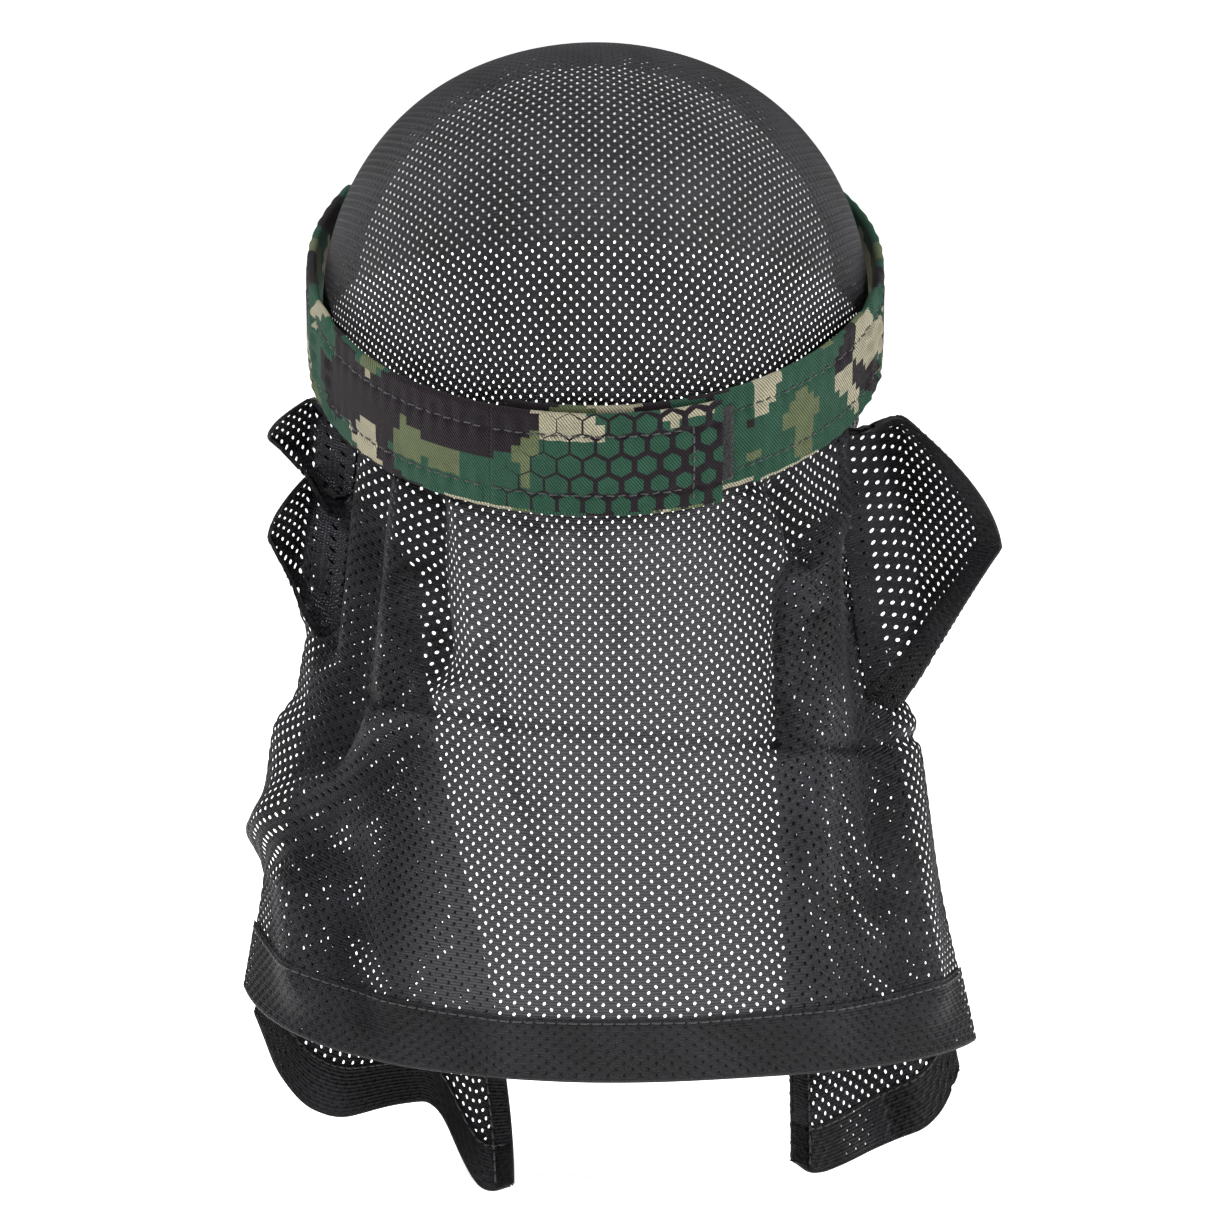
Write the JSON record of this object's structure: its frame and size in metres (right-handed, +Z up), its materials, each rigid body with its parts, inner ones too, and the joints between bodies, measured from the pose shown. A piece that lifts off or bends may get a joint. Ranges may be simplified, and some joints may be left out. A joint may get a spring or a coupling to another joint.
{
  "type": "mesh head wrap",
  "caption": "Padded camouflage headband with hook-and-loop nape closure, a mesh crown over the head and a hemmed mesh neck drape.",
  "frame": {"origin": "centre of the opening that the head fills, midway along the band's tilted plane", "axes": "+Z up, +Y where the wearer looks, +X the wearer's right"},
  "size_m": [0.223, 0.2068, 0.3281],
  "materials": {
    "mesh_cloth": "black athletic mesh with a satin sheen in the folds",
    "mesh_hem": "doubled black athletic mesh",
    "camo_twill": "matt twill printed in stepped blocks of green, olive, tan and brown black",
    "foam": "soft open-cell foam",
    "towelling": "looped sweat liner",
    "elastic_webbing": "ribbed elastic",
    "loop_pile": "fuzzy black loop",
    "hook_tape": "fine black hooks",
    "thread": "black lockstitch thread"
  },
  "bodies": {
    "wrap": {"crown_mesh": "mesh_cloth", "nape_mesh": "mesh_cloth", "drape_back": "mesh_cloth", "drape_left_return": "mesh_cloth", "drape_right_return": "mesh_cloth", "back_hem": "mesh_hem", "left_return_hem": "mesh_hem", "right_return_hem": "mesh_hem", "left_side_hem": "mesh_hem", "right_side_hem": "mesh_hem", "left_upper_wing": "mesh_cloth", "left_lower_wing": "mesh_cloth", "right_wing": "mesh_cloth", "right_wing_hem": "mesh_hem", "front_cover": "camo_twill", "front_foam": "foam", "front_liner": "towelling", "front_seam_tape": "elastic_webbing", "front_stitching": "thread", "left_strap": "camo_twill", "left_elastic": "elastic_webbing", "left_strap_stitching": "thread", "right_strap": "camo_twill", "right_elastic": "elastic_webbing", "right_strap_stitching": "thread", "loop_field": "loop_pile"},
    "nape_band": {"nape_strap": "camo_twill", "nape_strap_stitching": "thread"},
    "tail": {"tail_strap": "camo_twill", "tail_stitching": "thread", "tail_bar_seam": "thread", "hook_patch": "hook_tape"}
  },
  "joints": [
    {"name": "strap_adjust", "type": "hinge", "parent": "wrap", "child": "nape_band", "pos_m": [0, -0.01867, -0.00717], "axis": [0, -0.3584, 0.9336], "range_deg": [-8, 8]},
    {"name": "tail_peel", "type": "hinge", "parent": "nape_band", "child": "tail", "pos_m": [-0.02205, -0.09047, -0.03473], "axis": [0, 0.3584, -0.9336], "range_deg": [0, 110]}
  ]
}
